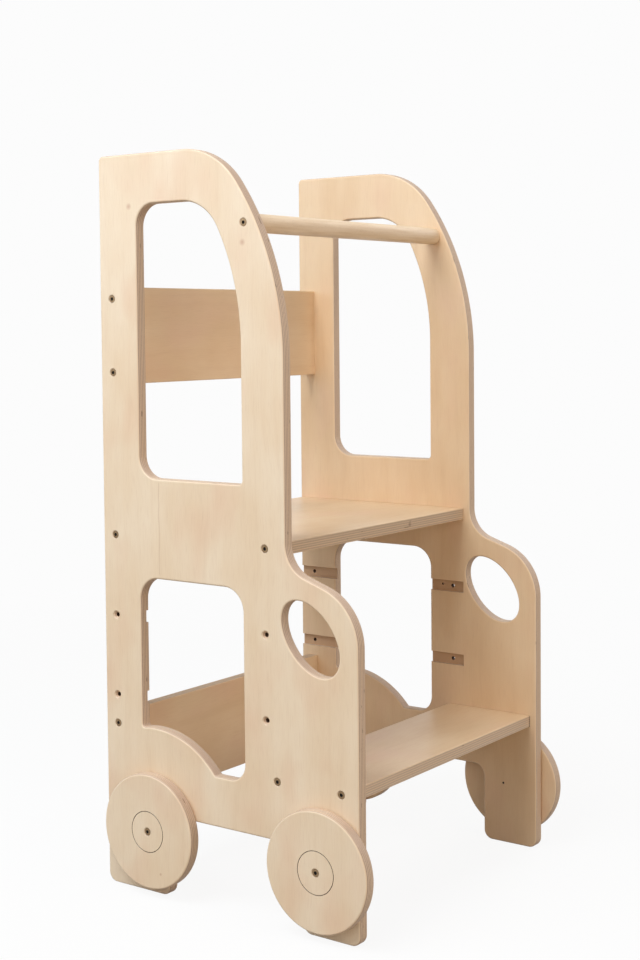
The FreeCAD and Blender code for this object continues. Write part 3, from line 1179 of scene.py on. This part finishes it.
    def holes(self) -> Mesh:
        """Makes cutters for the countersunk screw holes and the wheels' pilot holes.

        Returns:
            The cutters as one mesh.
        """
        start, end = -LAYOUT.outer_x - self.overcut, -LAYOUT.inner_x + self.overcut
        flare = LAYOUT.mouth - LAYOUT.neck
        sunk = [(start, 0.0), (start, LAYOUT.mouth + self.overcut),
                (-LAYOUT.outer_x + flare, LAYOUT.neck), (end, LAYOUT.neck), (end, 0.0)]
        pilot = plain_bore(start, end, self.pilot_radius)
        spots = [spot for node in PANEL_SCREWS for spot in head_spots(node)]
        return joined([lathe(sunk, *spot, self.hole_steps) for spot in spots + self.spare_spots()]
                      + [lathe(pilot, *axle_spot(wheel), self.pilot_steps) for wheel in WHEELS])

    def dimple(self) -> Mesh:
        """Makes the cutter for the stray drill mark in the right panel's middle groove.

        Returns:
            The cutter.
        """
        radius, depth = self.dimple_size
        floor_x = LAYOUT.inner_x + LAYOUT.groove
        drilled = [(floor_x - self.overcut, 0.0), (floor_x - self.overcut, radius),
                   (floor_x + depth - radius, radius), (floor_x + depth, 0.0)]
        return lathe(drilled, *self.dimple_spot, self.pilot_steps)

    def shade_open_holes(self, panel: Piece, finish: bpy.types.Material) -> None:
        """Paints shade on the walls of the open drilled holes of a dressed panel, over their torn
        end grain.

        Args:
            panel: The panel.
            finish: The darker material of the painted shade.
        """
        open_holes = [(spot, LAYOUT.neck) for spot in self.spare_spots()]
        open_holes += [(axle_spot(wheel), self.pilot_radius) for wheel in WHEELS]
        open_holes.append((self.dimple_spot, self.dimple_size[0]))
        # Painted shade on the walls of these holes
        repaint(panel, finish, lambda face: abs(face.normal.x) < self.wall_lean and any(
            off_axle(face, spot) < radius + self.drilled_wall for spot, radius in open_holes))

    def build(self) -> list[Piece]:
        """Builds and dresses both panels, each cut from another part of the log.

        Returns:
            The left and the right panel.
        """
        left = object_from(self.blank(), "side_panel_left_birch")
        cut(left, self.grooves(), self.holes())
        right = mirrored(left)
        cut(right, self.dimple())
        plain = PlywoodFinish("birch_panel_right", SheetAxis.X, SheetAxis.Z, LAYOUT.inner_x,
                              log=self.right_log)
        knots = tuple((-LAYOUT.outer_x, *spot, self.knot_radius) for spot in self.left_knots)
        knotty = replace(plain, name="birch_panel_left", log=0.0, knots=knots,
                         joint=self.left_joint)
        # The dark material that paints shade inside the open holes
        drilled = RECESS_SHADE.make()
        for panel, finish in ((left, knotty), (right, plain)):
            dress(panel, finish.make())
            self.shade_open_holes(panel, drilled)
        return [left, right]


@dataclass
class Boards:
    """The platform, the step and the two back boards."""

    edge_round: float = 1.2 * MM
    edge_segments: int = 6
    long_share: float = 0.9
    edge_void: Knot = (64.4 * MM, 272.5 * MM, 436.5 * MM, 2.6 * MM)
    void_colour: Colour = (104, 74, 58)
    shelf_edge: EdgeTone = EdgeTone((202, 179, 152), (182, 156, 134), (134, 108, 88))
    step_edge: EdgeTone = EdgeTone((214, 195, 173), (193, 170, 152), (150, 126, 108))

    def board(self, node: str) -> Piece:
        """Builds a board in the box of its node, with its long edges rounded over.

        Args:
            node: Name of the board's node.

        Returns:
            The board.
        """
        low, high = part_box(node)
        bm = box_mesh(low, high)
        enough = self.long_share * (high.x - low.x)
        long_edges = [e for e in bm.edges if abs(e.verts[0].co.x - e.verts[1].co.x) > enough]
        round_over(bm, long_edges, self.edge_round, self.edge_segments, True)
        return object_from(bm, f"{node}_birch")

    def build(self) -> list[Piece]:
        """Builds and dresses the four boards.

        Returns:
            The boards.
        """
        pieces = []
        for node, axis, log, tone in (
                ("platform", SheetAxis.Z, 0.4, self.shelf_edge),
                ("step_board", SheetAxis.Z, 2.3, self.step_edge),
                ("upper_back_rail", SheetAxis.Y, 3.6, self.shelf_edge),
                ("lower_back_board", SheetAxis.Y, 5.2, self.shelf_edge)):
            finish = PlywoodFinish(f"birch_{node}", axis, SheetAxis.X,
                                   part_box(node)[0][axis.value], log=log,
                                   knots=(self.edge_void,) if node == "platform" else (),
                                   knot=self.void_colour, tone=tone)
            pieces.append(dress(self.board(node), finish.make()))
        return pieces


@dataclass
class Handrail:
    """The round bar between the cab's fronts."""

    end_round: float = 0.5 * MM
    steps: int = 72

    def build(self) -> list[Piece]:
        """Builds and dresses the bar.

        Returns:
            The bar alone, in a list.
        """
        low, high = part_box("handrail_dowel")
        radius = (high.z - low.z) / 2.0
        profile = rounded_profile([
            (low.x, 0.0, 0.0), (low.x, radius, self.end_round),
            (high.x, radius, self.end_round), (high.x, 0.0, 0.0)])
        piece = object_from(lathe(profile, *axle_spot("handrail_dowel"), self.steps),
                            "handrail_dowel_beech")
        return [dress(piece, BeechFinish().make())]


@dataclass
class WheelSet:
    """Four plywood wheel rings and the stepped hubs that hold them."""

    edge_round: float = 2.4 * MM
    bore_round: float = 0.25 * MM
    neck_radius: float = 17.0 * MM
    flange: float = 7.5 * MM
    play: float = 0.3 * MM
    running: float = 0.08 * MM
    ring_gap: float = 0.7 * MM
    ring_steps: int = 144
    hub_steps: int = 96
    wall_lean: float = 0.3
    log_step: float = 9.0
    pin_knots: tuple[Knot, ...] = ((-227.0 * MM, 100.9 * MM, 31.8 * MM, 1.4 * MM),)

    def ring(self, node: str, hub_radius: float) -> Piece:
        """Turns a left wheel ring with the seat of the hub's flange in its outer face.

        Args:
            node: Name of the ring's node.
            hub_radius: Radius of the hub's flange.

        Returns:
            The ring.
        """
        low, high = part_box(node)
        radius = (high.z - low.z) / 2.0
        bore = self.neck_radius + self.running
        seat = hub_radius + self.ring_gap
        seat_end = low.x + self.flange + self.play
        profile = rounded_profile([
            (high.x, bore, 0.0), (high.x, radius, self.edge_round),
            (low.x, radius, self.edge_round), (low.x, seat, self.bore_round),
            (seat_end, seat, 0.0), (seat_end, bore, 0.0), (high.x, bore, 0.0)])
        return object_from(lathe(profile, *axle_spot(node), self.ring_steps), f"{node}_birch")

    def hub(self, node: str, radius: float, spot: Spot) -> Piece:
        """Turns a left hub with a countersunk hole for its screw.

        Args:
            node: Name of the hub's node.
            radius: Radius of its flange.
            spot: Depth and height of its axle.

        Returns:
            The hub.
        """
        low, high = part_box(node)
        flare = LAYOUT.mouth - LAYOUT.neck
        profile = rounded_profile([
            (high.x, LAYOUT.neck, 0.0), (high.x, self.neck_radius, 0.0),
            (low.x + self.flange, self.neck_radius, 0.0), (low.x + self.flange, radius, 0.0),
            (low.x, radius, self.bore_round), (low.x, LAYOUT.mouth, 0.0),
            (low.x + flare, LAYOUT.neck, 0.0), (high.x, LAYOUT.neck, 0.0)])
        return object_from(lathe(profile, *spot, self.hub_steps), f"{node}_birch")

    def darken_gap(self, piece: Piece, spot: Spot, radius: float,
                   finish: bpy.types.Material) -> None:
        """Paints shade on the walls of the gap round a hub, with the dark recess material.

        Args:
            piece: A dressed wheel or hub.
            spot: Depth and height of its axle.
            radius: Radius of the hub's flange.
            finish: Material of the painted shade on the gap's walls.
        """
        start, end = radius - self.ring_gap, radius + 2.0 * self.ring_gap
        repaint(piece, finish, lambda face: abs(face.normal.x) < self.wall_lean
                and start < off_axle(face, spot) < end)

    def build(self) -> list[Piece]:
        """Builds and dresses the wheels and hubs.

        Returns:
            The rings and hubs.
        """
        # Painted shade for the walls of the gap round each hub
        gap = replace(RECESS_SHADE, name="birch_hub_gap").make()
        pieces = []
        for node in WHEELS:
            hub_node = node.replace("wheel", "wheel_hub")
            low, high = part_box(hub_node)
            hub_radius = (high.z - low.z) / 2.0
            spot = axle_spot(node)
            lefts = (self.ring(node, hub_radius), self.hub(hub_node, hub_radius, spot))
            finish = PlywoodFinish(f"birch_{node.split('_')[1]}_wheels", SheetAxis.X, SheetAxis.Z,
                                   -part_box(node)[1].x, log=spot[0] * self.log_step,
                                   knots=self.pin_knots).make()
            for left in lefts:
                for piece in (left, mirrored(left)):
                    turning = piece.name.replace("_birch", "_ring")
                    body = "frame" if left is lefts[1] else turning
                    pieces.append(dress(piece, finish, body))
                    self.darken_gap(piece, spot, hub_radius, gap)
        return pieces


@dataclass
class ScrewSet:
    """Countersunk connector screws with hexagon sockets."""

    neck_radius: float = 2.5 * MM
    socket_width: float = 4.0 * MM
    socket_depth: float = 2.2 * MM
    head_round: float = 0.35 * MM
    sink: float = 0.3 * MM
    neck_length: float = 9.6 * MM
    core_radius: float = 1.9 * MM
    steps: int = 48
    round_segments: int = 3
    plating: bpy.types.Material = field(init=False)
    shade: bpy.types.Material = field(init=False)

    def __post_init__(self) -> None:
        """Makes the screws' two finishes."""
        self.plating = BRONZE.make()
        self.shade = BRONZE_SHADE.make()

    @property
    def socket_reach(self) -> float:
        """Distance from the middle of a hexagon socket to its corners."""
        return self.socket_width / math.sqrt(3.0)

    def screw(self, low: Vector, high: Vector, spot: Spot, head_radius: float) -> Mesh:
        """Turns one left screw and sinks its socket.

        Args:
            low: Lowest corner of its node's box.
            high: Highest corner of that box.
            spot: Depth and height of its axis.
            head_radius: Radius of its head.

        Returns:
            The screw's mesh.
        """
        neck_end = low.x + self.neck_length
        profile = rounded_profile([
            (low.x, 0.0, 0.0), (low.x, head_radius, self.head_round),
            (low.x + head_radius - self.neck_radius, self.neck_radius, 0.0),
            (neck_end, self.neck_radius, 0.0), (neck_end, self.core_radius, 0.0),
            (high.x, self.core_radius, 0.0), (high.x, 0.0, 0.0)], self.round_segments)
        screw = object_from(lathe(profile, *spot, self.steps), "screw")
        socket = bmesh.new()
        place = (Matrix.Translation(LAYOUT.at(*spot, low.x))
                 @ Matrix.Rotation(math.pi / 2.0, 4, "Y"))
        bmesh.ops.create_cone(socket, cap_ends=True, segments=6, radius1=self.socket_reach,
                              radius2=self.socket_reach, depth=2.0 * self.socket_depth,
                              matrix=place)
        cut(screw, socket)
        bm = bmesh.new()
        bm.from_mesh(screw.data)
        bpy.data.objects.remove(screw)
        return bm

    def darken_sockets(self, piece: Piece, spots: Sequence[Spot]) -> None:
        """Gives the sunk hexagons and the tips of a dressed group their painted shade.

        Args:
            piece: The group of screws.
            spots: Depth and height of each screw.
        """
        reaches = [abs(corner.co.x) for corner in piece.data.vertices]
        outer, tip = max(reaches), min(reaches)
        def dark(face: Face) -> bool:
            """Tells whether a face lies in a socket or at a tip.

            Args:
                face: A face of the group.

            Returns:
                True if it does.
            """
            x = abs(face.center.x)
            sunk = outer - self.socket_depth - WELD <= x <= outer - self.sink
            return x < tip + WELD or sunk and any(
                off_axle(face, spot) < self.socket_reach + WELD for spot in spots)
        repaint(piece, self.shade, dark)

    def build(self) -> list[Piece]:
        """Builds and dresses every group of screws.

        Returns:
            The groups.
        """
        pieces = []
        for node in PANEL_SCREWS + WHEEL_SCREWS:
            low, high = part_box(node)
            head_radius = min(high.y - low.y, high.z - low.z) / 2.0
            spots = head_spots(node)
            left = object_from(joined([self.screw(low, high, spot, head_radius)
                                       for spot in spots]), f"{node}_bronze")
            for piece in (left, mirrored(left)):
                pieces.append(dress(piece, self.plating))
                self.darken_sockets(piece, spots)
        return pieces


# ---------------------------------------------------------------- studio


@dataclass(frozen=True)
class SoftLamp:
    """A square lamp: where it hangs in metres, how wide it is, its watts and its tint."""

    name: str
    place: Corner
    size: float
    power: float
    colour: Corner


SOFT_LAMPS = (
    SoftLamp("above_left", (-1.6, 0.3, 2.9), 1.6, 64.0, (0.92, 0.97, 1.0)),
    SoftLamp("left", (-3.0, 0.0, 1.6), 1.8, 18.4, (1.0, 0.97, 0.94)),
    SoftLamp("front", (0.3, -3.0, 1.5), 2.2, 25.0, (1.0, 0.93, 0.85)),
    SoftLamp("front_left", (-1.2, -2.8, 1.6), 2.0, 21.0, (1.0, 0.84, 0.71)),
    SoftLamp("satin", (-1.9, 1.35, 1.2), 0.7, 6.5, (0.74, 0.87, 1.0)),
    SoftLamp("above", (0.0, 0.2, 3.2), 2.0, 8.0, (0.70, 0.90, 1.0)),
    SoftLamp("rear_left", (-1.6, 1.8, 2.4), 1.4, 10.2, (0.74, 0.87, 1.0)),
    SoftLamp("right", (3.0, -0.3, 1.5), 2.0, 36.0, (1.0, 1.0, 1.0)),
)


@dataclass
class Studio:
    """The pale floor and backdrop, the soft lamps and the camera."""

    camera_place: Corner = (-1.6186, -1.1639, 0.6914)
    heading: float = 0.93833
    pitch: float = -0.0505
    roll: float = -0.00894
    focal_pixels: float = 1575.9
    image_height: int = 960
    axis_row: float = 405.13
    sensor: float = 36.0
    clip_start: float = 0.05
    lamp_target: Corner = (0.0, 0.0, 0.45)
    ambient: float = 0.12
    ambient_tint: Knot = (1.0, 0.90, 0.80, 1.0)
    white: float = 0.973
    floor_colour: Knot = (0.38, 0.33, 0.26, 1.0)
    floor_roughness: float = 0.9
    floor_reach: float = 30.0
    floor_drop: float = 0.5 * MM
    floor_light: float = 0.9
    shadow_share: float = 0.07
    shadow_reach: Spot = (0.5, 2.2)

    def camera(self) -> None:
        """Sets up the photograph's viewpoint."""
        lens = bpy.data.cameras.new("camera")
        lens.sensor_width = self.sensor
        lens.lens = self.focal_pixels / self.image_height * self.sensor
        lens.shift_y = (self.axis_row - self.image_height / 2.0) / self.image_height
        lens.clip_start = self.clip_start
        camera = bpy.data.objects.new("camera", lens)
        turn = (Matrix.Rotation(-self.heading, 4, "Z")
                @ Matrix.Rotation(math.pi / 2.0 + self.pitch, 4, "X")
                @ Matrix.Rotation(self.roll, 4, "Z"))
        camera.matrix_world = Matrix.Translation(self.camera_place) @ turn
        bpy.context.scene.collection.objects.link(camera)
        bpy.context.scene.camera = camera

    def lamps(self) -> None:
        """Hangs the soft square lamps, each facing the stool's middle."""
        for lamp in SOFT_LAMPS:
            light = bpy.data.lights.new(lamp.name, "AREA")
            light.shape = "SQUARE"
            light.size = lamp.size
            light.energy = lamp.power
            light.color = lamp.colour
            stand = bpy.data.objects.new(lamp.name, light)
            aim = (Vector(self.lamp_target) - Vector(lamp.place)).to_track_quat("-Z", "Y")
            stand.matrix_world = Matrix.Translation(lamp.place) @ aim.to_matrix().to_4x4()
            bpy.context.scene.collection.objects.link(stand)

    def world(self) -> None:
        """Sets the even pale surroundings, plain white where they are seen."""
        world = bpy.data.worlds.new("surroundings")
        bpy.context.scene.world = world
        bench = NodeBench(world)
        ambient = bench.tree.nodes["Background"]
        bench.feed(ambient.inputs["Color"], self.ambient_tint)
        bench.feed(ambient.inputs["Strength"], self.ambient)
        seen = bench.node("ShaderNodeBackground", (self.white, self.white, self.white, 1.0))
        bench.surface("World Output", ambient, seen)

    def floor(self) -> None:
        """Lays a pale floor that keeps the stool's soft shadow and fades into the backdrop."""
        bm = bmesh.new()
        bmesh.ops.create_grid(bm, x_segments=1, y_segments=1, size=self.floor_reach)
        bmesh.ops.translate(bm, verts=bm.verts, vec=(0.0, 0.0, -self.floor_drop))
        floor = object_from(bm, "floor")
        bench = new_bench("pale_floor")
        floor.data.materials.append(bench.finish(self.floor_colour, self.floor_roughness, 0.0))
        distance = bench.node("ShaderNodeVectorMath", bench.coordinates(), operation="LENGTH")
        keeps = bench.span(distance.outputs["Value"], *self.shadow_reach, self.shadow_share, 0.0)
        catcher = bench.node("ShaderNodeBsdfDiffuse", bench.vector(keeps, keeps, keeps))
        glow = bench.node("ShaderNodeEmission")
        bench.feed(glow.inputs["Strength"],
                   bench.math("MULTIPLY_ADD", keeps, -self.floor_light, self.white))
        seen = bench.node("ShaderNodeAddShader", catcher.outputs[0], glow.outputs[0])
        bench.surface("Material Output", bench.tree.nodes["Principled BSDF"], seen)

    def build(self) -> None:
        """Sets up the whole studio."""
        bpy.context.scene.view_settings.view_transform = "Standard"
        self.camera()
        self.lamps()
        self.world()
        self.floor()


def main() -> None:
    """Builds the stool's assemblies in order, then the studio around them."""
    logging.basicConfig(level=logging.INFO, format="%(name)s: %(message)s")
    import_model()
    for assembly in (SidePanels(), Boards(), Handrail(), WheelSet(), ScrewSet()):
        pieces = assembly.build()
        LOG.info("%s: %d pieces", type(assembly).__name__, len(pieces))
    Studio().build()


if __name__ == "__main__":
    main()
